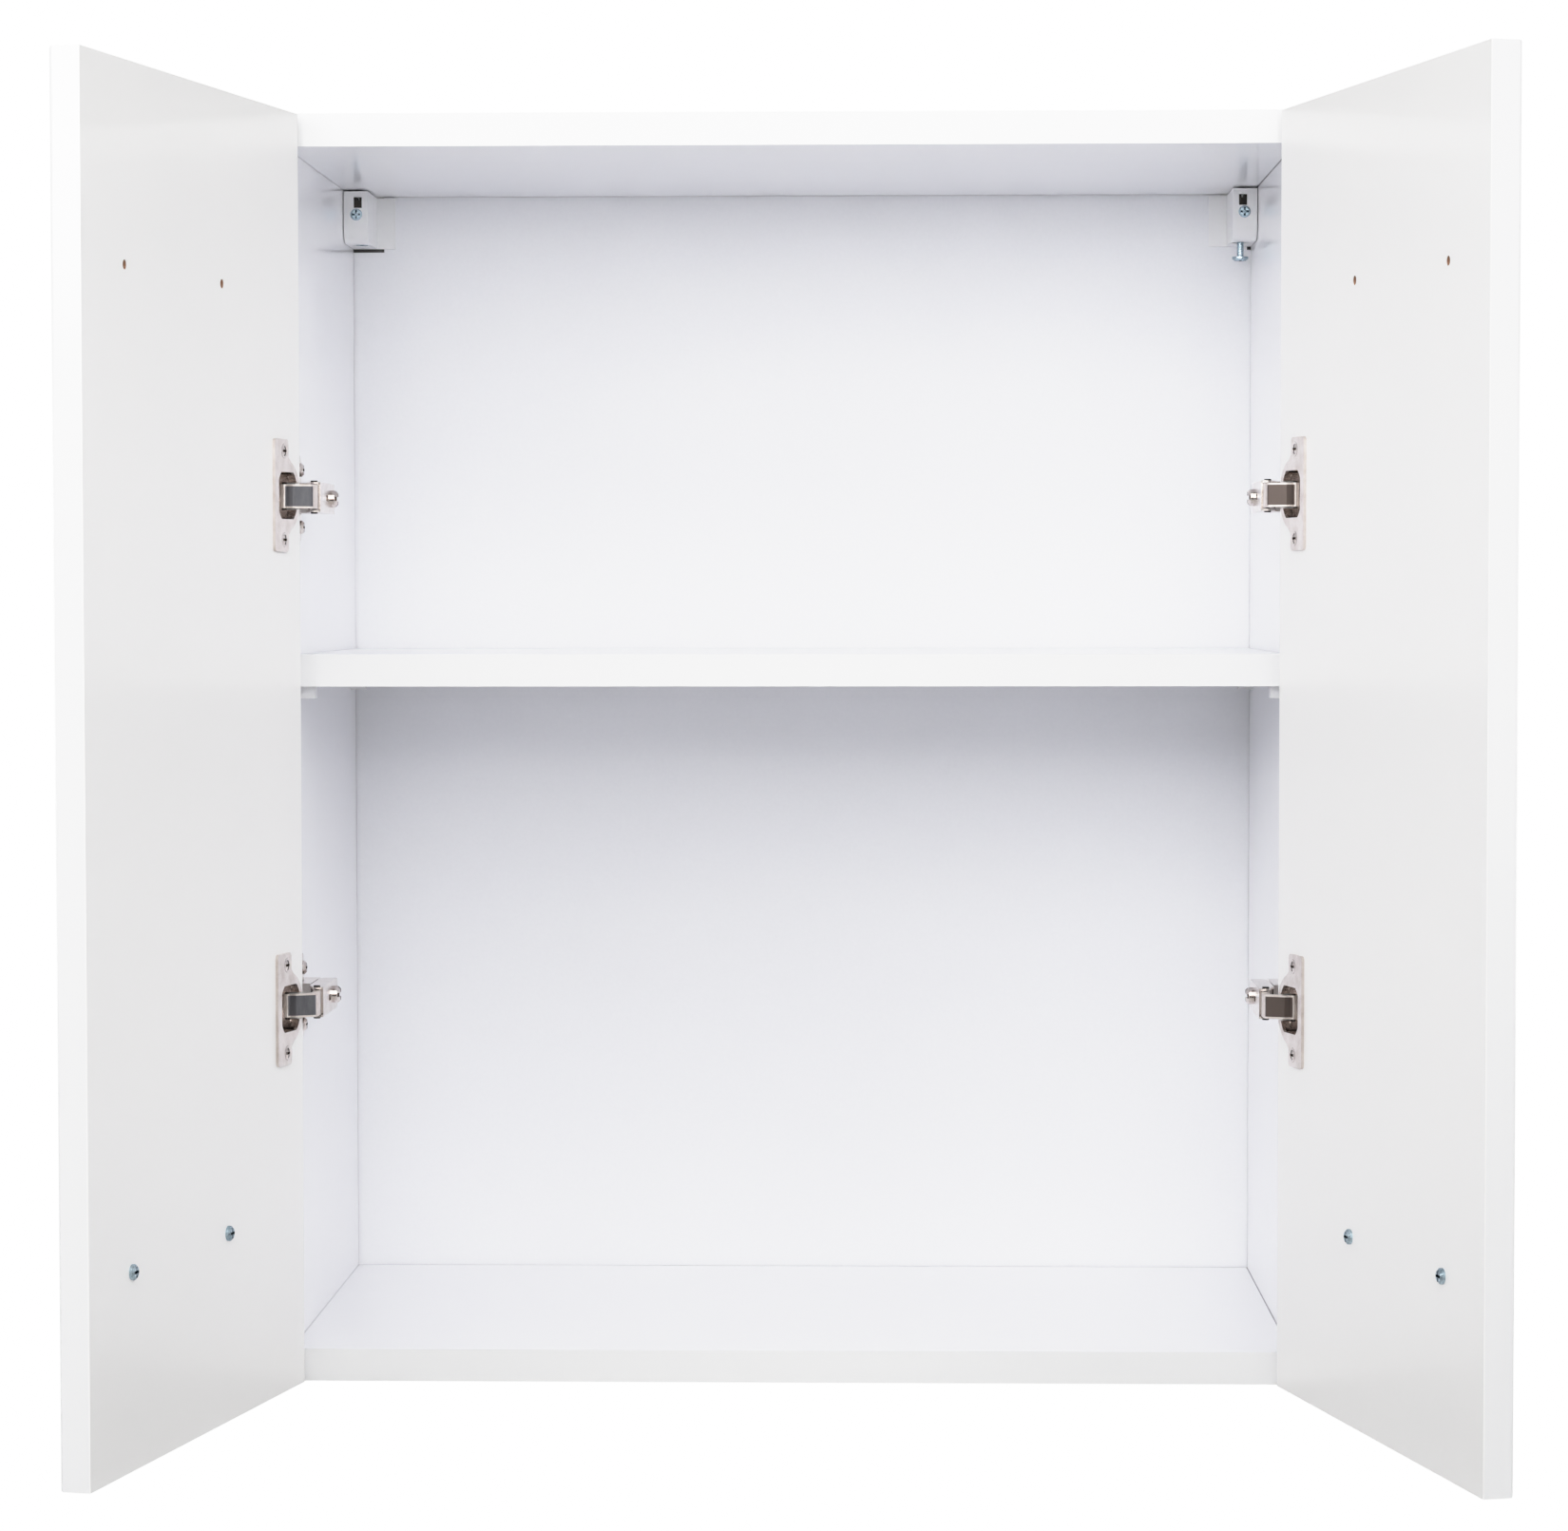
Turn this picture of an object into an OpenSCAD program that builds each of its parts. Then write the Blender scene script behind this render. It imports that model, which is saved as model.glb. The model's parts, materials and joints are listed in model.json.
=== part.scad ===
// Hanging wall cabinet: two doors on concealed cup hinges, one loose shelf.
// Millimetres. X runs across the front, Y runs to the wall, Z is up.
// The origin is on the wall, centred, at the underside of the cabinet.

/* [Cabinet] */
// Outside width of the carcass
cabinet_w = 590; // [560:5:800]
// Outside height of the carcass
cabinet_h = 700; // [680:5:900]
// Outside depth of the carcass without the doors
cabinet_d = 300; // [280:5:400]
// Thickness of the carcass boards and the shelf
board_t = 18; // [16:1:19]
// Height of the underside of the shelf
shelf_z = 385; // [370:5:395]
// Distance from the carcass front to the shelf front
shelf_setback = 30; // [20:1:60]
// Thickness of the back panel
back_t = 3; // [2.5:0.5:4]
// Distance from the rear edges to the rear of the back panel
back_inset = 8; // [8:1:15]

/* [Doors] */
// Thickness of the doors
door_t = 16; // [15:1:19]
// Rounding of the outer door edges
door_r = 2; // [1:0.5:4]
// Opening angle of the left door
left_open = 102.4; // [0:0.1:107]
// Opening angle of the right door
right_open = 104.3; // [0:0.1:107]

/* [Hinges] */
// Height of the lower hinges
low_hinge_z = 211; // [80:1:300]
// Height of the upper hinges
high_hinge_z = 490; // [470:1:560]
// Diameter of the hinge pins
pin_d = 2.4; // [2:0.1:2.6]

/* [Handles] */
// Height of the handles
handle_z = 101; // [60:1:140]
// Height of the unused handle holes
spare_z = 598; // [560:1:640]
// Distance between the two fixings of a handle
handle_span = 128; // [96:32:160]
// Distance from the hinge edge to the first fixing
handle_s = 112; // [70:1:115]
// Projection of the handle from the door
handle_out = 31; // [26:1:40]

/* [Hangers] */
// Height of the hook in the left hanger above its lowest setting
left_hook_up = 11; // [0:0.5:11]
// Height of the hook in the right hanger above its lowest setting
right_hook_up = 0; // [0:0.5:11]

/* [Hidden] */
$fn = 64;
inner_x = cabinet_w / 2 - board_t;
back_y = cabinet_d - back_inset - back_t;
door_w = cabinet_w / 2 - 2;
door_h = cabinet_h - 3;
door_z = 1.5;
door_gap = 2;
side_lap = board_t - 1;
shelf_gap = 1;
hanger_z = cabinet_h - board_t - 32;
hinge_zs = [low_hinge_z, high_hinge_z];
screw_ys = [45, cabinet_d - 55];
dowel_ys = [100, cabinet_d - 110];
joint_zs = [board_t / 2, cabinet_h - board_t / 2];
pin_ys = [49, cabinet_d - 33];
pin_r = pin_d / 2;
// Pivots of the hinge link with the door shut, from the inner wall and front.
arm_pivot = [15, 2.35];
cup_pivot = [9.2, -5.5];
shut_pivot = [cup_pivot[0] - side_lap, cup_pivot[1] - door_gap];
// The link turns this much for each degree the door turns.
link_turn = 0.329;
cup_s = 22.5;
flange_t = 1.6;
link_vec = shut_pivot - arm_pivot;
link_l = norm(link_vec);
link_u = link_vec / link_l;
link_n = [-link_u[1], link_u[0]];
// The link's strap, along and off the line between its pivots.
strap_path = [[0, 0], [2.6, 4], [11.8, 9.6], [14.2, 9.85], [22.4, 4.4], [link_l, 0]];
web_path = [
    [2.6, 4], [11.8, 9.6], [14.2, 9.85], [22.4, 4.4], [24.4, 0.8],
    [20.6, 0.2], [14, 6.2], [12, 6.2], [4.4, 1.6]
];

// ---- frames ----

function turned(v, a) = [v[0] * cos(a) - v[1] * sin(a), v[0] * sin(a) + v[1] * cos(a)];

// Everything is drawn for the left side and mirrored for the right.
module on_side(right) {
    if (right) {
        mirror([1, 0, 0]) children();
    } else {
        children();
    }
}

// x from the inner wall of the side, y from the carcass front.
module wall_frame(right) {
    on_side(right) translate([-inner_x, -cabinet_d, 0]) children();
}

// x from the hinge edge of the door, y from its inner face, z from the floor.
module door_frame(right) {
    a = right ? right_open : left_open;
    p = arm_pivot + turned(link_vec, link_turn * a);
    wall_frame(right)
        translate([p[0], p[1], 0])
        rotate([0, 0, -a])
        translate([-cup_pivot[0], -cup_pivot[1], 0])
        children();
}

// The link as it stands with the door shut, then turned with the door.
module link_frame(right) {
    a = right ? right_open : left_open;
    wall_frame(right)
        translate([arm_pivot[0], arm_pivot[1], 0])
        rotate([0, 0, link_turn * a])
        translate([-arm_pivot[0], -arm_pivot[1], 0])
        children();
}

// ---- shared shapes ----

module block(a, b) {
    translate(a) cube(b - a);
}

module rod_x(p, r, l) {
    translate(p) rotate([0, 90, 0]) cylinder(r = r, h = l);
}

module rod_y(p, r, l) {
    translate(p) rotate([-90, 0, 0]) cylinder(r = r, h = l);
}

module rod_z(p, r, l) {
    translate(p) cylinder(r = r, h = l);
}

// Cross recess sunk from z = 0.
module cross(size, deep) {
    translate([-size / 2, -size / 8, -deep]) cube([size, size / 4, deep + 1]);
    translate([-size / 8, -size / 2, -deep]) cube([size / 4, size, deep + 1]);
}

// Pan-head screw, head on z = 0 and shank going down.
module pan_form(head_r, head_h, shank_r, shank_l) {
    cylinder(r = head_r, h = head_h * 0.55);
    translate([0, 0, head_h * 0.55]) cylinder(r1 = head_r, r2 = head_r * 0.7, h = head_h * 0.45);
    translate([0, 0, -shank_l]) cylinder(r = shank_r, h = shank_l + 0.1);
}

module pan_screw(head_r, head_h, shank_r, shank_l) {
    difference() {
        pan_form(head_r, head_h, shank_r, shank_l);
        translate([0, 0, head_h]) cross(head_r * 1.4, head_h * 0.8);
    }
}

// Countersunk screw, top of the head on z = 0.
module csk_form(head_r, shank_r, shank_l) {
    translate([0, 0, shank_r - head_r]) cylinder(r1 = shank_r, r2 = head_r, h = head_r - shank_r);
    translate([0, 0, -shank_l]) cylinder(r = shank_r, h = shank_l - head_r + shank_r + 0.1);
}

// Raised countersunk screw, a little smaller than its seat.
module oval_screw(head_r, shank_r, shank_l) {
    difference() {
        union() {
            csk_form(head_r - 0.25, shank_r, shank_l);
            translate([0, 0, -0.1]) cylinder(r1 = head_r - 0.4, r2 = head_r * 0.45, h = 0.8);
        }
        translate([0, 0, 0.7]) cross(head_r * 1.35, 1.9);
    }
}

// ---- carcass ----

module confirmat_form() {
    rod_x([-board_t + 0.5, 0, 0], 5, 3);
    rod_x([-board_t + 0.5, 0, 0], 3.5, board_t + 2);
    rod_x([0, 0, 0], 2.5, 32);
}

module at_confirmats(right) {
    for (z = joint_zs, y = screw_ys) {
        wall_frame(right) translate([0, y, z]) children();
    }
}

module at_dowels(right) {
    for (z = joint_zs, y = dowel_ys) {
        wall_frame(right) rod_x([-11, y, z], 4, 30);
    }
}

module at_shelf_pins(right) {
    for (y = pin_ys) {
        wall_frame(right) translate([0, y, shelf_z]) children();
    }
}

module plate_screw_form() {
    rotate([0, 90, 0]) pan_form(3.8, 2.4, 2, 15);
}

module at_plate_screws(right) {
    for (z = hinge_zs, dz = [-16, 16]) {
        wall_frame(right) translate([2, 37, z + dz]) children();
    }
}

module back_groove() {
    block([-inner_x - 5, -cabinet_d + back_y - 0.5, board_t - 5],
          [inner_x + 5, -back_inset + 0.1, cabinet_h - board_t + 5]);
}

module side_panel(right) {
    color("white") difference() {
        wall_frame(right) block([-board_t, 0, 0], [0, cabinet_d, cabinet_h]);
        back_groove();
        at_confirmats(right) confirmat_form();
        at_confirmats(right) rod_x([-board_t - 1, 0, 0], 6, 1.5);
        at_dowels(right);
        at_shelf_pins(right) rod_x([-10, 0, -3.5], 2.5, 11);
        at_plate_screws(right) plate_screw_form();
        wall_frame(right) hanger_pegs();
    }
}

module end_panel(z) {
    difference() {
        block([-inner_x, -cabinet_d, z], [inner_x, 0, z + board_t]);
        back_groove();
        for (right = [false, true]) {
            at_confirmats(right) confirmat_form();
            at_dowels(right);
        }
    }
}

module top_panel() {
    color("white") end_panel(cabinet_h - board_t);
}

module bottom_panel() {
    color("white") end_panel(0);
}

module back_panel() {
    color("white") difference() {
        block([-inner_x - 4.5, -cabinet_d + back_y, board_t - 4.5],
              [inner_x + 4.5, -back_inset, cabinet_h - board_t + 4.5]);
        for (right = [false, true]) {
            wall_frame(right) block([-5, back_y - 1, hanger_z + 0.2], [19, back_y + back_t + 1, cabinet_h]);
            // shallow relief under the hanger, wider on the left
            wall_frame(right)
                block([-5, back_y - 1, hanger_z - 2], [right ? 2.4 : 19, back_y + 2.2, hanger_z + 1]);
        }
    }
}

module confirmat_screws() {
    color("silver") for (right = [false, true]) {
        at_confirmats(right) difference() {
            confirmat_form();
            rod_x([-board_t - 3.5, 0, 0], 2.2, 8, $fn = 6);
        }
    }
}

module screw_caps() {
    color("white") for (right = [false, true]) {
        at_confirmats(right) {
            rod_x([-board_t - 0.3, 0, 0], 6, 0.8);
            rod_x([-board_t, 0, 0], 1.8, 3.5);
        }
    }
}

module dowels() {
    color("burlywood") for (right = [false, true]) {
        at_dowels(right);
    }
}

module shelf_pins() {
    color("whitesmoke") for (right = [false, true]) {
        at_shelf_pins(right) {
            rod_x([-10, 0, -3.5], 2.5, 10.5);
            block([0, -4.5, -7], [9, 4.5, 0]);
        }
    }
}

module shelf() {
    color("white") block(
        [-inner_x + shelf_gap, -cabinet_d + shelf_setback, shelf_z],
        [inner_x - shelf_gap, -cabinet_d + back_y - 1, shelf_z + board_t]);
}

// ---- hangers ----

module hanger_pegs() {
    for (y = [252, 276]) {
        rod_x([-11, y - 300 + cabinet_d, hanger_z + 19], 5, 12);
    }
}

module hanger_shell() {
    x0 = 0.4;
    y0 = back_y - 49;
    difference() {
        union() {
            block([x0, y0 + 9, hanger_z], [15, back_y, hanger_z + 31]);
            block([x0, back_y - 1, hanger_z + 1], [15, back_y + 2, hanger_z + 31]);
            block([x0, y0, hanger_z + 9], [15, back_y, hanger_z + 31]);
            rod_x([x0, y0 + 9, hanger_z + 9], 9, 15 - x0);
            block([x0, back_y - 2.5, hanger_z], [26, back_y, hanger_z + 31]);
        }
        // hollow for the hook, open to the wall
        block([3, y0 + 12, hanger_z + 7], [12.5, back_y + 3, hanger_z + 29]);
        // slot above the depth screw
        block([6.4, y0 - 1, hanger_z + 21], [11.4, y0 + 13, hanger_z + 27.6]);
        // height bolt
        rod_z([8.8, y0 + 21, hanger_z - 1], 5.4, 4.2);
        rod_z([8.8, y0 + 21, hanger_z - 1], 2.15, 9);
        // depth screw
        rod_y([8, y0 + 1.2, hanger_z + 17], 2, 12);
        rod_y([8, y0 - 1, hanger_z + 17], 3.6, 2.2);
    }
}

module hanger_body(right) {
    color("whitesmoke") wall_frame(right) union() {
        hanger_shell();
        hanger_pegs();
    }
}

module depth_screw(right) {
    color("lightsteelblue") wall_frame(right)
        translate([8, back_y - 47.8, hanger_z + 17]) rotate([90, 0, 0])
        pan_screw(3.6, 2, 2, 11.5);
}

// Dark steel slide seen through the slot, with a notch in its upper edge.
module hanger_slide(right) {
    y0 = back_y - 49;
    color("dimgray") wall_frame(right) difference() {
        block([6.4, y0 + 2.4, hanger_z + 21], [11.4, y0 + 11.5, hanger_z + 27.6]);
        block([8.1, y0 + 2, hanger_z + 25.8], [9.7, y0 + 12, hanger_z + 28]);
    }
}

module hook_frame(right) {
    up = right ? right_hook_up : left_hook_up;
    wall_frame(right) translate([0, back_y, hanger_z - 11 + up]) children();
}

module height_bolt(right) {
    color("lightsteelblue") hook_frame(right) translate([8.8, -28, 0])
        translate([0, 0, 2.4]) rotate([180, 0, 0]) pan_screw(4.9, 2.4, 2, 21.6);
}

module hook(right) {
    color("silver") hook_frame(right) difference() {
        union() {
            block([3.5, -35, 21], [12, 10, 24]);
            block([3.5, 7.5, 10], [12, 10, 24]);
        }
        rod_z([8.8, -28, 20], 2, 5);
    }
}

// ---- hinges: parts on the side panel ----

module hinge_plate(right, z) {
    color("silver") wall_frame(right) translate([0, 0, z]) difference() {
        union() {
            block([0, 31, -18.2], [2, 43, 18.2]);
            for (dz = [-18.2, 18.2]) {
                rod_x([0, 37, dz], 6, 2);
            }
            block([0, 22, -8.3], [8.9, 60, 8.3]);
            block([8, 24, -6.4], [17.5, 56, 6.4]);
        }
        for (dz = [-16, 16]) {
            rod_x([-1, 37, dz], 2, 4);
        }
        rod_x([6, 46, 0], 2.5, 13);
    }
}

module plate_screws(right) {
    color("silver") at_plate_screws(right) rotate([0, 90, 0]) pan_screw(3.8, 2.4, 2, 15);
}

module hinge_arm(right, z) {
    cheek = [[18.7, 0.8], [18.7, 58], [12, 58], [9.4, 54], [9.4, 12], [12.65, 2.35], [15, 0], [17.6, 0]];
    color("silver") wall_frame(right) translate([0, 0, z]) difference() {
        union() {
            for (dz = [-8.3, 7.1]) {
                translate([0, 0, dz]) linear_extrude(1.2) union() {
                    polygon(cheek);
                    translate(arm_pivot) circle(r = 2.35);
                }
            }
            block([17.5, 0.8, -8.3], [18.7, 58, 8.3]);
        }
        translate([arm_pivot[0], arm_pivot[1], -10]) cylinder(r = pin_r, h = 20);
        rod_x([17, 46, 0], 2.5, 3);
        block([17, 24, -1.6], [19, 32, 1.6]);
    }
}

module arm_screws(right) {
    color("silver") for (z = hinge_zs) {
        wall_frame(right) translate([18.7, 46, z]) rotate([0, 90, 0]) difference() {
            pan_form(4.8, 3.6, 2.5, 12.5);
            translate([0, 0, 3.6]) cross(9, 2.2);
        }
    }
}

module arm_pins(right) {
    color("dimgray") for (z = hinge_zs) {
        wall_frame(right) translate([arm_pivot[0], arm_pivot[1], z]) {
            cylinder(r = pin_r, h = 18, center = true);
            for (dz = [-9.1, 8.3]) {
                translate([0, 0, dz]) cylinder(r = pin_r + 0.7, h = 0.8);
            }
        }
    }
}

// ---- hinges: link and cup ----

function on_link(p) = arm_pivot + p[0] * link_u + p[1] * link_n;

// A round-ended bar of half width r.
module bar(a, b, r) {
    translate(a) rotate(atan2(b[1] - a[1], b[0] - a[0])) translate([0, -r]) square([norm(b - a), 2 * r]);
    translate(b) circle(r = r);
}

module hinge_link(right, z) {
    color("gray") link_frame(right) translate([0, 0, z]) difference() {
        union() {
            linear_extrude(13, center = true) for (i = [0:4]) {
                bar(on_link(strap_path[i]), on_link(strap_path[i + 1]), 0.7);
            }
            for (dz = [-6.5, 5.5]) {
                translate([0, 0, dz]) linear_extrude(1) difference() {
                    polygon([for (p = web_path) on_link(p)]);
                    translate(shut_pivot) circle(r = 9);
                }
            }
            for (p = [arm_pivot, shut_pivot]) {
                translate([p[0], p[1], -6.5]) cylinder(r = 2, h = 13);
            }
        }
        for (p = [arm_pivot, shut_pivot]) {
            translate([p[0], p[1], -8]) cylinder(r = pin_r + 0.06, h = 16);
        }
    }
}

// Outline of the cup flange: x from the cup centre, y along the door edge.
module flange_outline() {
    intersection() {
        circle(r = 19);
        translate([-19, -19]) square([37.5, 38]);
    }
    polygon([[-1.5, -21], [-14.5, -12], [-14.5, 12], [-1.5, 21]]);
    translate([-1.5, -28]) square([20, 56]);
    translate([1, -30.5]) square([15, 61]);
    for (x = [1, 16], y = [-28, 28]) {
        translate([x, y]) circle(r = 2.5);
    }
}

// Opening in the flange, round at the back and squared off towards the door.
module mouth_outline() {
    intersection() {
        circle(r = 15.5);
        union() {
            translate([-18, -12.7]) square([27.5, 25.4]);
            translate([-18, -9.2]) square([31, 18.4]);
            for (y = [-9.2, 9.2]) {
                translate([9.5, y]) circle(r = 3.5);
            }
        }
    }
}

module hinge_cup(right, z) {
    color("silver") door_frame(right) translate([cup_s, 0, z]) difference() {
        union() {
            translate([0, flange_t, 0]) rotate([90, 0, 0]) linear_extrude(flange_t) flange_outline();
            rod_y([0, -12, 0], 17.5, 12.6);
        }
        difference() {
            rod_y([0, -11.3, 0], 16.8, 11.3);
            for (z0 = [-12, 7.6]) {
                block([-15.6, -8, z0], [-11, 0.5, z0 + 4.4]);
            }
        }
        translate([0, 2, 0]) rotate([90, 0, 0]) linear_extrude(5) mouth_outline();
        block([-17.1, -5, -7.3], [-8, 2, 7.3]);
        block([-20, -0.2, -7.3], [-8, 2, 7.3]);
        translate([cup_pivot[0] - cup_s, cup_pivot[1], -9.8]) cylinder(r = pin_r, h = 19.6);
        at_cup_screws() csk_form(4, 1.75, 13);
    }
}

module at_cup_screws() {
    for (dz = [-24, 24]) {
        translate([5, flange_t, dz]) rotate([-90, 0, 0]) children();
    }
}

module at_cups(right) {
    for (z = hinge_zs) {
        door_frame(right) translate([cup_s, 0, z]) children();
    }
}

module cup_screws(right) {
    color("silver") at_cups(right) at_cup_screws() oval_screw(4, 1.75, 13);
}

module cup_pins(right) {
    color("dimgray") at_cups(right)
        translate([cup_pivot[0] - cup_s, cup_pivot[1], -9.8]) cylinder(r = pin_r, h = 19.6);
}

// ---- doors ----

// Board outline with its two outer corners rounded.
module rounded_edge(l) {
    translate([0, door_r - door_t]) square([l, door_t - door_r]);
    translate([door_r, -door_t]) square([l - 2 * door_r, door_t]);
    for (x = [door_r, l - door_r]) {
        translate([x, door_r - door_t]) circle(r = door_r);
    }
}

module door(right) {
    color("white") door_frame(right) difference() {
        intersection() {
            translate([0, 0, door_z]) linear_extrude(door_h) rounded_edge(door_w);
            translate([0, 0, door_z]) rotate([0, -90, 0]) mirror([0, 0, 1])
                linear_extrude(door_w) rounded_edge(door_h);
        }
        for (z = hinge_zs) {
            translate([cup_s, 0, z]) {
                rod_y([0, -12, 0], 17.5, 13);
                at_cup_screws() csk_form(4, 1.75, 13);
            }
        }
        for (s = [handle_s, handle_s + handle_span]) {
            rod_y([s, -door_t - 1, handle_z], 2.5, door_t + 2);
            rod_y([s, -13, spare_z], 2.5, 14);
        }
    }
}

module at_handle(right) {
    for (s = [handle_s, handle_s + handle_span]) {
        door_frame(right) translate([s, 0, handle_z]) children();
    }
}

// An arched bow on two round feet.
module handle(right) {
    half = handle_span / 2;
    rise = handle_out - 9;
    arch_r = (half * half + rise * rise) / (2 * rise);
    color("silver") difference() {
        union() {
            door_frame(right) translate([handle_s + half, -door_t - 6.5, handle_z - 5.5]) linear_extrude(11)
                intersection() {
                    translate([0, arch_r - rise]) difference() {
                        circle(r = arch_r + 2.5, $fn = 160);
                        circle(r = arch_r - 2.5, $fn = 160);
                    }
                    translate([-half - 5.5, -rise - 5]) square([2 * half + 11, rise + 6.5]);
                }
            at_handle(right) rod_y([0, -door_t - 8, 0], 5.5, 8);
        }
        at_handle(right) rod_y([0, -door_t - 6.5, 0], 2, 8);
    }
}

module handle_screws(right) {
    color("lightsteelblue") at_handle(right) rotate([-90, 0, 0]) pan_screw(4, 2.5, 2, door_t + 6);
}

side_panel(false);  // left_side
side_panel(true);  // right_side
top_panel();
bottom_panel();
back_panel();
confirmat_screws();
screw_caps();
dowels();
shelf_pins();
shelf();
hanger_body(false);  // left_hanger_body
hanger_body(true);  // right_hanger_body
depth_screw(false);  // left_depth_screw
depth_screw(true);  // right_depth_screw
hanger_slide(false);  // left_hanger_slide
hanger_slide(true);  // right_hanger_slide
height_bolt(false);  // left_height_bolt
height_bolt(true);  // right_height_bolt
hook(false);  // left_hook
hook(true);  // right_hook
hinge_plate(false, high_hinge_z);  // left_upper_plate
hinge_plate(false, low_hinge_z);  // left_lower_plate
hinge_plate(true, high_hinge_z);  // right_upper_plate
hinge_plate(true, low_hinge_z);  // right_lower_plate
hinge_arm(false, high_hinge_z);  // left_upper_arm
hinge_arm(false, low_hinge_z);  // left_lower_arm
hinge_arm(true, high_hinge_z);  // right_upper_arm
hinge_arm(true, low_hinge_z);  // right_lower_arm
arm_pins(false);  // left_arm_pins
arm_pins(true);  // right_arm_pins
plate_screws(false);  // left_plate_screws
plate_screws(true);  // right_plate_screws
arm_screws(false);  // left_arm_screws
arm_screws(true);  // right_arm_screws
hinge_link(false, high_hinge_z);  // left_upper_link
hinge_link(false, low_hinge_z);  // left_lower_link
hinge_link(true, high_hinge_z);  // right_upper_link
hinge_link(true, low_hinge_z);  // right_lower_link
door(false);  // left_door
door(true);  // right_door
hinge_cup(false, high_hinge_z);  // left_upper_cup
hinge_cup(false, low_hinge_z);  // left_lower_cup
hinge_cup(true, high_hinge_z);  // right_upper_cup
hinge_cup(true, low_hinge_z);  // right_lower_cup
cup_pins(false);  // left_cup_pins
cup_pins(true);  // right_cup_pins
cup_screws(false);  // left_cup_screws
cup_screws(true);  // right_cup_screws
handle(false);  // left_handle
handle(true);  // right_handle
handle_screws(false);  // left_handle_screws
handle_screws(true);  // right_handle_screws
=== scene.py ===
"""Hanging wall cabinet: materials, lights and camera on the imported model."""
import json
import math

import bpy
from mathutils import Matrix, Vector

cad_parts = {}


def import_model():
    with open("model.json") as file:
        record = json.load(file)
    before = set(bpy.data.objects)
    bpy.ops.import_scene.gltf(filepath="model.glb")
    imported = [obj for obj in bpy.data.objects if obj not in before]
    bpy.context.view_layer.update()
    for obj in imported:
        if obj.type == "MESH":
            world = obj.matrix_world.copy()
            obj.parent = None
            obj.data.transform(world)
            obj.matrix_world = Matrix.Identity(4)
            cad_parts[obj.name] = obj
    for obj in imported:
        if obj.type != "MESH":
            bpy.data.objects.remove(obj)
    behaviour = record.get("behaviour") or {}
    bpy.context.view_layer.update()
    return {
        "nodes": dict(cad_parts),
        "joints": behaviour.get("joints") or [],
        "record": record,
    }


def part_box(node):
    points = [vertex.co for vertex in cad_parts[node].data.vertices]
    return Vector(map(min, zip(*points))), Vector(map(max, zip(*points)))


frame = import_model()
NODES = frame["nodes"]

MM = 0.001

# Places on the cabinet, in metres.
DOOR_OPEN = {"left": math.radians(102.4), "right": math.radians(104.3)}
# From a door's hinge edge and inner face.
CUP_PIVOT = Vector((0.0092, -0.0055, 0.0))
HANDLE_HOLES = ((0.112, 0.101), (0.24, 0.101), (0.112, 0.598), (0.24, 0.598))
HOLE_RADIUS, HOLE_END = 0.00265, -0.0145
# From the cabinet's middle: its inside, the limits of the groove, and a link's dark face, with painted
# highlights outside it.
MID_Z = 0.35
INNER_X, INNER_HALF_Z = 0.277, 0.332
OUTER_X, OUTER_HALF_Z = 0.2935, 0.3485
STRAP_X, STRAP_HALF_Z = (0.2603, 0.2747), 0.0055
BACK_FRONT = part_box("back_panel")[0][1]
BACK_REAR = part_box("back_panel")[1][1]
GROOVE_FRONT = BACK_FRONT - 0.0006
GROOVE_REAR = BACK_REAR + 0.0001
RELIEF_END = BACK_FRONT + 0.0024
HINGE_ZS = [
    sum(corner[2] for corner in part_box(f"left_{level}_cup")) / 2 for level in ("lower", "upper")
]

# Studio and film.
NOOK = 0.0016  # how far the painted recess shade reaches out of a recess
WHITE_LEVEL = 2.0
SHOULDER = ((0.35, 0.35), (0.7, 0.7), (0.85, 0.81), (1.0, 0.88), (1.25, 0.93), (1.6, 0.97))
DOME_FRONT, DOME_SIDE = 0.0, 0.28
FLOOR_Z, FLOOR_SIZE = -1.3, 8.8
LENS = 94.5
CAMERA_PLACE = (0.0574, -2.5626, 0.435)
CAMERA_YAW, CAMERA_PITCH, CAMERA_ROLL = 0.02671, -0.04101, 0.00095


# ---- material helpers ----

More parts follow.
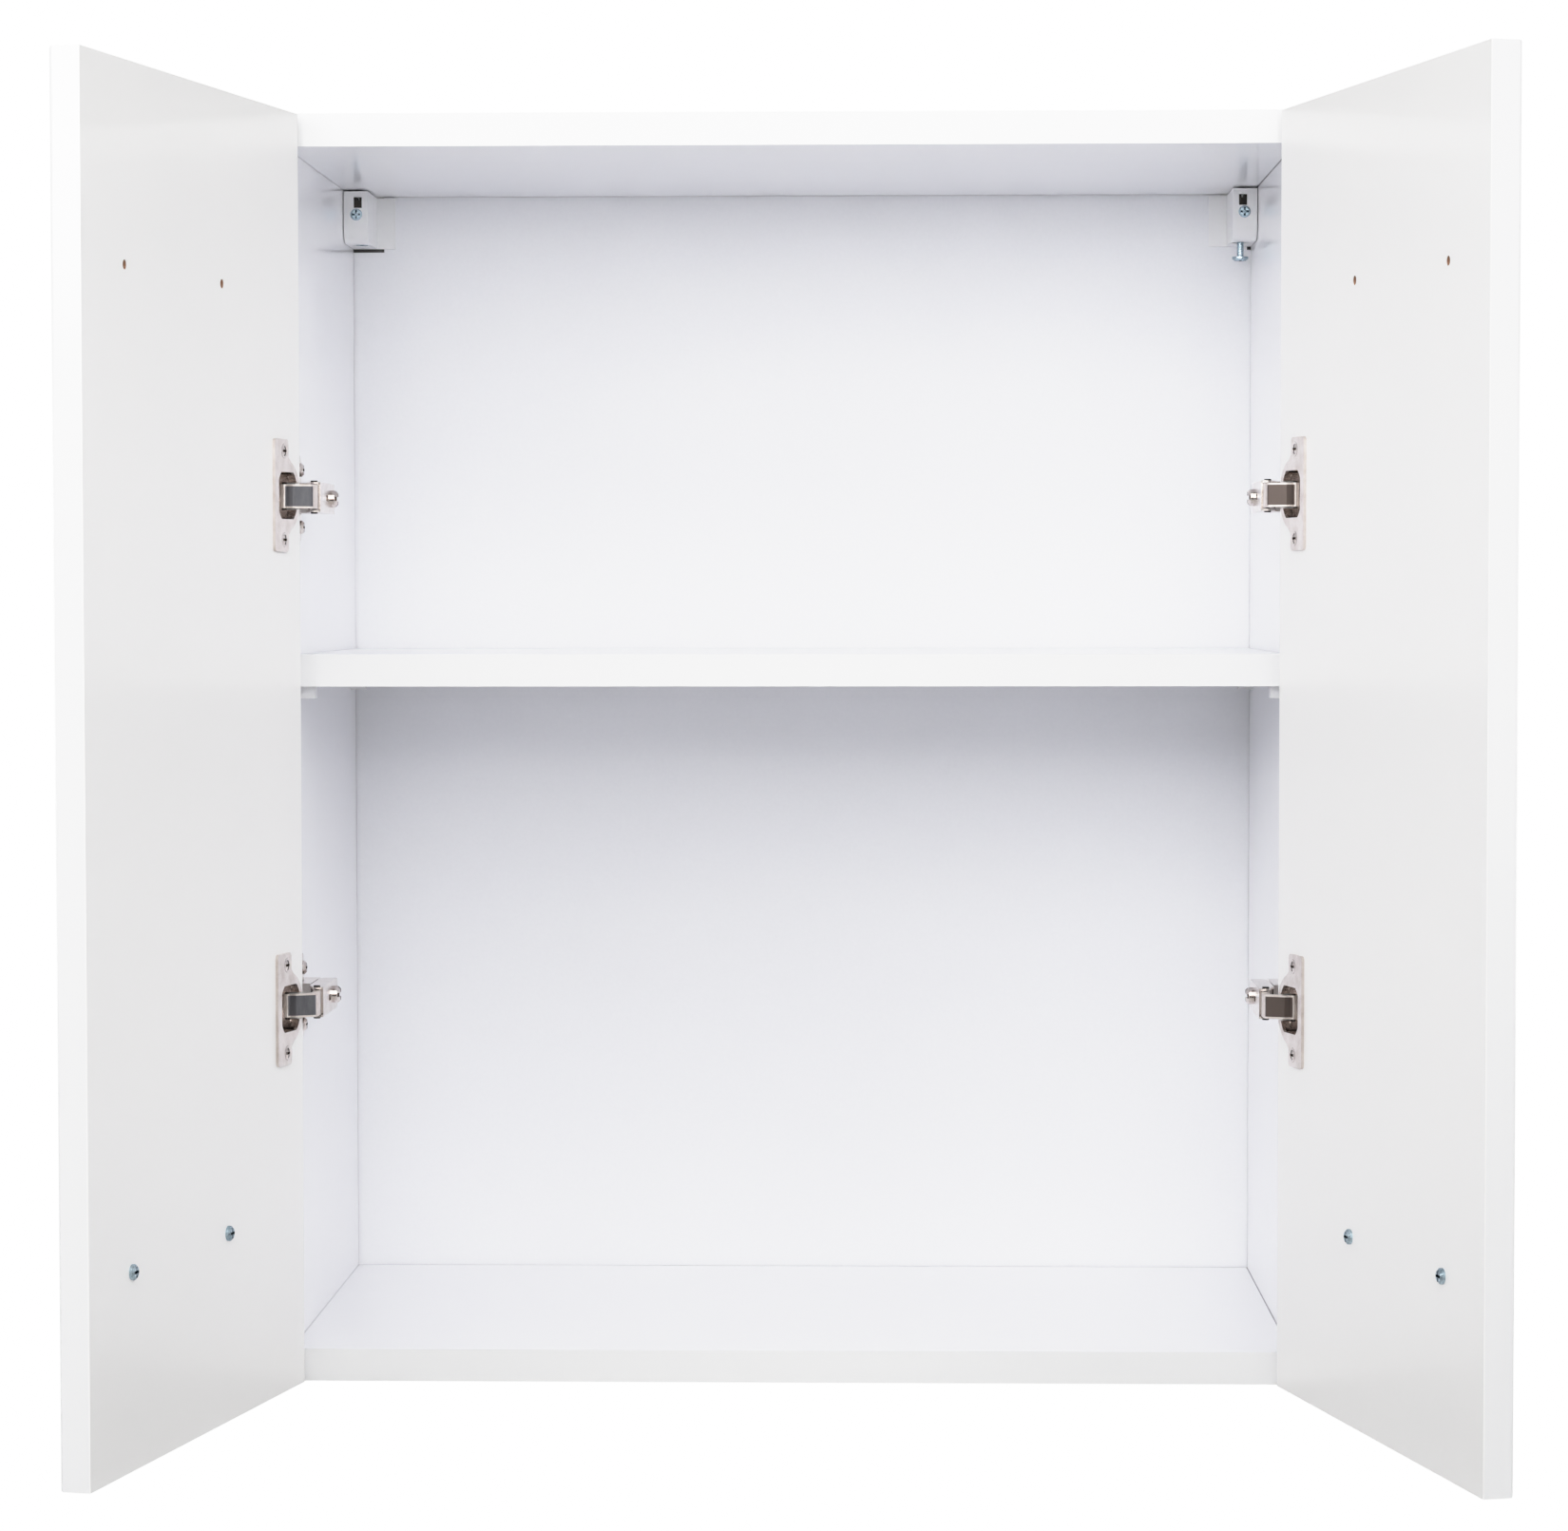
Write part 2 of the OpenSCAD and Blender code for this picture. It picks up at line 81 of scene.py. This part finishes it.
class Build:
    """A node material under construction, around one Principled shader."""

    def __init__(self, name, colour, rough, metal=0.0, coat=0.0, coat_rough=0.1, spec=0.5):
        self.mat = bpy.data.materials.new(name)
        self.mat.use_nodes = True
        self.tree = self.mat.node_tree
        self.shader = self.tree.nodes["Principled BSDF"]
        put = self.shader.inputs
        put["Base Color"].default_value = (*colour, 1)
        put["Roughness"].default_value = rough
        put["Metallic"].default_value = metal
        put["Coat Weight"].default_value = coat
        put["Coat Roughness"].default_value = coat_rough
        put["Specular IOR Level"].default_value = spec
        self.where = self.node("ShaderNodeTexCoord").outputs["Object"]

    def node(self, kind, **props):
        made = self.tree.nodes.new(kind)
        for key, value in props.items():
            setattr(made, key, value)
        return made

    def link(self, a, b):
        self.tree.links.new(a, b)

    def noise(self, scale, detail=3.0, rough=0.5, stretch=None, where=None):
        """Noise of some scale per metre, drawn out along an axis by stretch."""
        source = where or self.where
        if stretch:
            mapping = self.node("ShaderNodeMapping")
            mapping.inputs["Scale"].default_value = stretch
            self.link(source, mapping.inputs["Vector"])
            source = mapping.outputs["Vector"]
        tex = self.node("ShaderNodeTexNoise")
        tex.inputs["Scale"].default_value = scale
        tex.inputs["Detail"].default_value = detail
        tex.inputs["Roughness"].default_value = rough
        self.link(source, tex.inputs["Vector"])
        return tex.outputs["Fac"]

    def spread(self, value, low, high, at=(0.3, 0.7)):
        """A value's range "at" mapped to low and high."""
        node = self.node("ShaderNodeMapRange")
        for key, number in zip(("From Min", "From Max", "To Min", "To Max"), (*at, low, high)):
            node.inputs[key].default_value = number
        self.link(value, node.inputs["Value"])
        return node.outputs["Result"]

    def mix(self, fac, a, b):
        """Colour a where fac is 0 and b where it is 1."""
        node = self.node("ShaderNodeMix", data_type="RGBA")
        self.link(fac, node.inputs["Factor"])
        for socket, value in ((node.inputs["A"], a), (node.inputs["B"], b)):
            if isinstance(value, tuple):
                socket.default_value = (*value, 1)
            else:
                self.link(value, socket)
        return node.outputs["Result"]

    def math(self, how, a, b=0.0):
        node = self.node("ShaderNodeMath", operation=how)
        for socket, value in zip(node.inputs, (a, b)):
            if isinstance(value, (int, float)):
                socket.default_value = value
            else:
                self.link(value, socket)
        return node.outputs[0]

    def within(self, socket, low, high):
        """1 where a value lies between two limits."""
        above, below = self.math("GREATER_THAN", socket, low), self.math("LESS_THAN", socket, high)
        return self.math("MULTIPLY", above, below)

    def least(self, sockets):
        """The smallest of several values."""
        found = sockets[0]
        for socket in sockets[1:]:
            found = self.math("MINIMUM", found, socket)
        return found

    def place(self, output="Object"):
        """X, Y and Z of the shaded point."""
        part = self.node("ShaderNodeSeparateXYZ")
        self.link(self.node("ShaderNodeTexCoord").outputs[output], part.inputs[0])
        return part.outputs

    def fine(self, scale, a, b, **how):
        """Two colours mixed by noise."""
        return self.mix(self.spread(self.noise(scale, **how), 0, 1), a, b)

    def colour(self, socket):
        self.link(socket, self.shader.inputs["Base Color"])

    def rough(self, socket):
        self.link(socket, self.shader.inputs["Roughness"])

    def bump(self, height, strength, distance):
        node = self.node("ShaderNodeBump")
        node.inputs["Strength"].default_value = strength
        node.inputs["Distance"].default_value = distance
        self.link(height, node.inputs["Height"])
        self.link(node.outputs["Normal"], self.shader.inputs["Normal"])


def laminate(name, colour, shade, band):
    """Faced board: smooth and lightly glossy, an edge band in front, bare chipboard in the groove."""
    m = Build(name, colour, 0.32, coat=0.7, coat_rough=0.13)
    front = m.math("LESS_THAN", m.place("Normal")["Y"], -0.8)
    face = m.fine(9, colour, shade, detail=4)
    chips = m.fine(900, (0.30, 0.19, 0.11), (0.14, 0.085, 0.05), detail=5, rough=0.7)
    at = m.place()
    aside = m.math("ABSOLUTE", at["X"])
    level = m.math("ABSOLUTE", m.math("SUBTRACT", at["Z"], MID_Z))
    groove = m.within(at["Y"], GROOVE_FRONT, GROOVE_REAR)
    for socket, end in ((aside, OUTER_X), (level, OUTER_HALF_Z)):
        groove = m.math("MULTIPLY", groove, m.math("LESS_THAN", socket, end))
    # Dark joint line and painted corner shade where the top and the bottom meet the sides, fainter on
    # the left.
    corner = m.within(aside, INNER_X - 0.0007, INNER_X + 0.0002)
    corner = m.math("MULTIPLY", corner, m.within(level, INNER_HALF_Z - 0.0005, INNER_HALF_Z + 0.0007))
    corner = m.math("MULTIPLY", corner, m.spread(at["X"], 0.4, 1, (-0.1, 0.1)))
    face = m.mix(corner, face, (0.25, 0.24, 0.24))
    m.colour(m.mix(groove, m.mix(front, face, band), chips))
    m.rough(m.spread(m.noise(60, 5), 0.28, 0.38))
    m.bump(m.noise(240, 2), 0.004, 0.0004)
    return m.mat


def speckled(name, colour, shade):
    """Lacquered hardboard: fine grit in the lacquer, bare brown fibreboard behind, painted shade near
    black in the reliefs.
    """
    m = Build(name, colour, 0.42, coat=0.15, coat_rough=0.25)
    grit = m.noise(520, 6, 0.75)
    faced = m.mix(m.spread(grit, 0, 1, (0.35, 0.7)), colour, shade)
    fibre_and_shade = m.fine(1300, (0.27, 0.165, 0.1), (0.16, 0.095, 0.055), detail=5, rough=0.7)
    deep = m.place()["Y"]
    # Painted shade: near black on the cut faces in the front 2.4 mm of the panel.
    fibre_and_shade = m.mix(m.math("LESS_THAN", deep, RELIEF_END), fibre_and_shade, (0.035, 0.028, 0.025))
    m.colour(m.mix(m.math("GREATER_THAN", deep, BACK_FRONT + 0.0001), faced, fibre_and_shade))
    m.rough(m.spread(m.noise(150, 4), 0.34, 0.52))
    m.bump(grit, 0.12, 0.0004)
    return m.mat


def metal(name, colour, dark, rough, grain=(1, 1, 1), recess_shade=None):
    """Plated steel: uneven tone, fine wear in the sheen, light pitting, and painted shade in its
    recesses.
    """
    m = Build(name, colour, rough, metal=1.0)
    cloud = m.noise(120, 5, 0.6)
    plated = m.mix(m.spread(cloud, 0, 1, (0.4, 0.75)), colour, dark)
    if recess_shade:
        # Painted shade: darker where ambient occlusion finds a recess.
        nook = m.node("ShaderNodeAmbientOcclusion", samples=8, only_local=True)
        nook.inputs["Distance"].default_value = NOOK
        plated = m.mix(m.spread(nook.outputs["AO"], 0, 1, (0.45, 0.95)), recess_shade, plated)
    m.colour(plated)
    m.rough(m.spread(m.noise(900, 4, 0.6, grain), rough - 0.06, rough + 0.1))
    m.bump(m.noise(1500, 3, 0.6, grain), 0.12, 0.0001)
    return m.mat


def link_plate(name):
    """Hinge link: a dark flat strap, browner on the right as a painted reflection, with painted
    highlights on its borders, ends and webs.
    """
    m = Build(name, (0.2, 0.2, 0.21), 0.42, metal=0.75)
    brushed = {"detail": 5, "rough": 0.65, "stretch": (1, 1, 0.25)}
    dark = m.fine(260, (0.165, 0.165, 0.178), (0.115, 0.115, 0.125), **brushed)
    painted_highlight = m.fine(300, (0.8, 0.74, 0.7), (0.64, 0.57, 0.53), detail=4)
    at = m.place()
    # Painted reflection: a browner tone on the right-hand links.
    dark = m.mix(m.math("GREATER_THAN", at["X"], 0.0), dark, (0.115, 0.09, 0.08))
    # Painted highlights outside the strap's dark face: along its borders and on its ends and webs.
    level = m.least([m.math("ABSOLUTE", m.math("SUBTRACT", at["Z"], z)) for z in HINGE_ZS])
    strap = m.within(m.math("ABSOLUTE", at["X"]), *STRAP_X)
    edge = m.math("MAXIMUM", m.math("GREATER_THAN", level, STRAP_HALF_Z), m.math("SUBTRACT", 1.0, strap))
    m.colour(m.mix(edge, dark, painted_highlight))
    m.rough(m.spread(m.noise(700, 4, 0.6, (1, 1, 0.2)), 0.34, 0.48))
    m.bump(m.noise(1200, 3, 0.6), 0.1, 0.0001)
    return m.mat


def plastic(name, colour, shade, rough):
    """Moulded plastic: slightly translucent, with a fine texture."""
    m = Build(name, colour, rough, coat=0.1, coat_rough=0.3)
    m.shader.inputs["Subsurface Weight"].default_value = 0.08
    m.shader.inputs["Subsurface Radius"].default_value = (0.002, 0.002, 0.002)
    m.colour(m.fine(70, colour, shade))
    m.rough(m.spread(m.noise(400, 3), rough - 0.06, rough + 0.08))
    m.bump(m.noise(1400, 2), 0.08, 0.0002)
    return m.mat


def beech(name):
    """Dowel wood, grained along X."""
    m = Build(name, (0.72, 0.55, 0.36), 0.55)
    grain = m.noise(260, 6, 0.6, (0.12, 1, 1))
    m.colour(m.mix(m.spread(grain, 0, 1), (0.76, 0.6, 0.4), (0.55, 0.39, 0.23)))
    m.bump(grain, 0.3, 0.0003)
    return m.mat


def door_face(side):
    """A door: satin inner face, glossy edges and front, bare fibreboard in its holes."""
    m = Build(f"{side}_door_facing", (0.9, 0.9, 0.9), 0.35, coat=0.3, coat_rough=0.08)
    joint = next(j for j in frame["joints"] if j["name"] == f"{side}_door_turn")
    flip = -1 if side == "right" else 1
    pivot = Vector((flip * joint["pos_m"][0], joint["pos_m"][1], 0))
    turn = Matrix.Rotation(DOOR_OPEN[side], 3, "Z")
    mapping = m.node("ShaderNodeMapping")
    mapping.inputs["Location"].default_value = CUP_PIVOT - turn @ pivot
    mapping.inputs["Rotation"].default_value = (0, 0, DOOR_OPEN[side])
    mapping.inputs["Scale"].default_value = (flip, 1, 1)
    m.link(m.where, mapping.inputs["Vector"])
    local = mapping.outputs["Vector"]
    part = m.node("ShaderNodeSeparateXYZ")
    m.link(local, part.inputs[0])
    deep = part.outputs["Y"]
    inner = m.math("GREATER_THAN", deep, -0.0006)
    satin = m.fine(7, (0.915, 0.905, 0.895), (0.9, 0.892, 0.885), where=local)
    gloss = m.fine(12, (0.83, 0.83, 0.835), (0.815, 0.815, 0.825), detail=2, where=local)
    faced = m.mix(inner, gloss, satin)
    bare = m.fine(1800, (0.46, 0.25, 0.15), (0.25, 0.12, 0.07), detail=4, rough=0.7, where=local)
    gaps = []
    for along, height in HANDLE_HOLES:
        da = m.math("SUBTRACT", part.outputs["X"], along)
        dz = m.math("SUBTRACT", part.outputs["Z"], height)
        square = m.math("ADD", m.math("MULTIPLY", da, da), m.math("MULTIPLY", dz, dz))
        gaps.append(m.math("SQRT", square))
    near = m.math("LESS_THAN", m.least(gaps), HOLE_RADIUS)
    hole = m.math("MULTIPLY", near, m.within(deep, HOLE_END, -0.0004))
    m.colour(m.mix(hole, faced, bare))
    sheen = m.math("ADD", m.math("MULTIPLY", inner, 0.2), m.math("MULTIPLY", hole, 0.4))
    m.rough(m.math("ADD", sheen, m.spread(m.noise(60, 4, where=local), 0.16, 0.24)))
    m.bump(m.noise(650, 2, where=local), 0.05, 0.0004)
    return m.mat


# ---- materials for every CAD node ----

WHITE = laminate("white_board", (0.926, 0.927, 0.96), (0.916, 0.917, 0.953), (0.83, 0.83, 0.835))
BACK = speckled("back_board", (0.92, 0.924, 0.956), (0.895, 0.9, 0.934))
NICKEL = metal("nickel", (0.76, 0.7, 0.665), (0.56, 0.49, 0.45), 0.15, recess_shade=(0.16, 0.11, 0.09))
LINK = link_plate("link_steel")
ZINC = metal("zinc", (0.44, 0.54, 0.6), (0.25, 0.34, 0.4), 0.26, recess_shade=(0.02, 0.035, 0.045))
DARK = metal("dark_steel", (0.05, 0.045, 0.042), (0.02, 0.018, 0.017), 0.45)
BRUSHED = metal("brushed_metal", (0.66, 0.65, 0.63), (0.55, 0.54, 0.52), 0.3, (0.05, 0.05, 1))
PLASTIC = plastic("white_plastic", (0.925, 0.925, 0.93), (0.905, 0.905, 0.915), 0.34)
BEECH = beech("beech")
DOORS = {side: door_face(side) for side in ("left", "right")}

BY_SLOT = {
    "white_board": WHITE, "back_board": BACK, "beech": BEECH, "white_plastic": PLASTIC,
    "zinc": ZINC, "dark_steel": DARK, "link_steel": LINK, "brushed_metal": BRUSHED, "nickel": NICKEL,
}
# Width of the softened edges, in mm.
BEVEL = {
    "white_board": 0.5, "back_board": 0.2, "door_lacquer": 0.4, "white_plastic": 0.5,
    "nickel": 0.25, "link_steel": 0.2, "zinc": 0.15, "brushed_metal": 0.6,
}
CUP_BEVEL = 0.7

for sub in frame["record"]["subparts"]:
    obj = NODES[sub["node"]]
    slot = sub["material_slot"]
    obj.data.materials.clear()
    obj.data.materials.append(DOORS[sub["node"][:-5]] if slot == "door_lacquer" else BY_SLOT[slot])
    if slot in BEVEL:
        bevel = obj.modifiers.new("soft_edges", "BEVEL")
        bevel.width = (CUP_BEVEL if sub["node"].endswith("cup") else BEVEL[slot]) * MM
        bevel.segments = 2
        bevel.limit_method = "ANGLE"
        bevel.angle_limit = math.radians(40)
        bevel.harden_normals = True


# ---- floor, lights, camera ----

def floor():
    """A pale floor well below the hanging cabinet, which fades into the white backdrop."""
    bpy.ops.mesh.primitive_plane_add(size=FLOOR_SIZE, location=(0, 0, FLOOR_Z))
    plane = bpy.context.object
    plane.name = "floor"
    m = Build("pale_floor", (0.9, 0.9, 0.9), 0.7, spec=0.2)
    m.colour(m.fine(0.7, (0.92, 0.92, 0.92), (0.9, 0.9, 0.9), detail=2))
    far = m.node("ShaderNodeVectorMath", operation="LENGTH")
    m.link(m.where, far.inputs[0])
    glow = m.spread(far.outputs["Value"], 0.3, 1.8, (1.0, 4.2))
    glow = m.math("MULTIPLY", glow, m.node("ShaderNodeLightPath").outputs["Is Camera Ray"])
    m.shader.inputs["Emission Color"].default_value = (1, 1, 1, 1)
    m.link(glow, m.shader.inputs["Emission Strength"])
    plane.data.materials.append(m.mat)


def softbox(name, place, target, size, power, bounces=None):
    """An area light that the camera doesn't see, with all its bounces unless a number is given."""
    light = bpy.data.lights.new(name, "AREA")
    light.shape = "RECTANGLE"
    light.size, light.size_y = size
    light.energy = power
    if bounces is not None:
        light.cycles.max_bounces = bounces
    obj = bpy.data.objects.new(name, light)
    obj.location = place
    obj.rotation_mode = "QUATERNION"
    obj.rotation_quaternion = (Vector(target) - Vector(place)).to_track_quat("-Z", "Y")
    obj.visible_camera = False
    bpy.context.scene.collection.objects.link(obj)


def world():
    """White to the camera; for everything else a dome that is darker in front, as in a dim studio."""
    made = bpy.data.worlds.new("studio")
    bpy.context.scene.world = made
    made.use_nodes = True
    tree = made.node_tree
    back = tree.nodes["Background"]
    back.inputs["Color"].default_value = (1, 1, 1, 1)
    way = tree.nodes.new("ShaderNodeSeparateXYZ")
    tree.links.new(tree.nodes.new("ShaderNodeTexCoord").outputs["Generated"], way.inputs[0])
    dome = tree.nodes.new("ShaderNodeMapRange")
    dome.interpolation_type = "SMOOTHSTEP"
    limits = (-0.8, -0.5, DOME_FRONT, DOME_SIDE)
    for key, number in zip(("From Min", "From Max", "To Min", "To Max"), limits):
        dome.inputs[key].default_value = number
    tree.links.new(way.outputs["Y"], dome.inputs["Value"])
    path = tree.nodes.new("ShaderNodeLightPath")
    level = tree.nodes.new("ShaderNodeMapRange")
    level.inputs["To Max"].default_value = WHITE_LEVEL
    tree.links.new(path.outputs["Is Camera Ray"], level.inputs["Value"])
    tree.links.new(dome.outputs["Result"], level.inputs["To Min"])
    tree.links.new(level.outputs["Result"], back.inputs["Strength"])


def film():
    """A soft shoulder, so that lit white edges stay below pure white."""
    view = bpy.context.scene.view_settings
    view.view_transform = "Standard"
    view.use_curve_mapping = True
    curve = view.curve_mapping
    curve.white_level = (WHITE_LEVEL,) * 3
    line = curve.curves[3]
    for seen, shown in SHOULDER:
        line.points.new(seen / WHITE_LEVEL, shown)
    curve.update()


def camera():
    """Looks at the front, nearly level, from a little right of the middle."""
    data = bpy.data.cameras.new("camera")
    data.sensor_fit = "HORIZONTAL"
    data.sensor_width = 36
    data.lens = LENS
    obj = bpy.data.objects.new("camera", data)
    aim = Matrix.Rotation(CAMERA_YAW, 3, "Z")
    aim = aim @ Matrix.Rotation(CAMERA_PITCH, 3, "X") @ Matrix.Rotation(CAMERA_ROLL, 3, "Y")
    right, ahead, up = (aim @ Vector(v) for v in ((1, 0, 0), (0, 1, 0), (0, 0, 1)))
    turn = Matrix((right, up, -ahead)).transposed().to_4x4()
    obj.matrix_world = Matrix.Translation(CAMERA_PLACE) @ turn
    bpy.context.scene.collection.objects.link(obj)
    bpy.context.scene.camera = obj


floor()
world()
softbox("right_high", (2.4, -2.7, 2.5), (0, -0.2, 0.4), (1.9, 1.7), 30)
softbox("top_high", (0.0, -3.2, 3.3), (0, -0.2, 0.4), (3.0, 1.5), 22)
softbox("front_low", (0.0, -4.6, 0.6), (0, -0.2, 0.35), (3.0, 1.4), 16)
softbox("left_far", (-2.6, -3.4, 0.9), (0, -0.2, 0.35), (1.4, 1.8), 7)
softbox("right_far", (2.6, -3.4, 0.9), (0, -0.2, 0.35), (1.4, 1.8), 11)
softbox("near_front", (0.0, -1.7, 1.0), (0, -0.1, 0.5), (1.4, 0.45), 7.4)
softbox("near_left", (-1.1, -1.7, 1.0), (0, -0.1, 0.45), (0.8, 0.7), 11.6)
softbox("near_high", (0.0, -1.5, 1.5), (0, -0.1, 0.5), (1.4, 0.6), 5.2)
softbox("near_level", (0.0, -1.9, 0.72), (0, -0.1, 0.5), (0.9, 0.18), 3.8)
softbox("back_fill", (0.0, 2.6, 1.6), (0, 0, 0.35), (2.5, 2.0), 15)
# Fills for the outer faces, which light only what they reach directly.
softbox("fill_left", (-3.4, 0.45, 0.3), (0, -0.2, 0.3), (0.9, 0.8), 32, bounces=0)
softbox("fill_right", (3.4, 0.45, 0.3), (0, -0.2, 0.3), (0.9, 0.8), 32, bounces=0)
softbox("fill_rear", (0.0, 2.6, 2.4), (0, 0, 0.35), (1.8, 0.8), 32, bounces=0)
camera()
film()
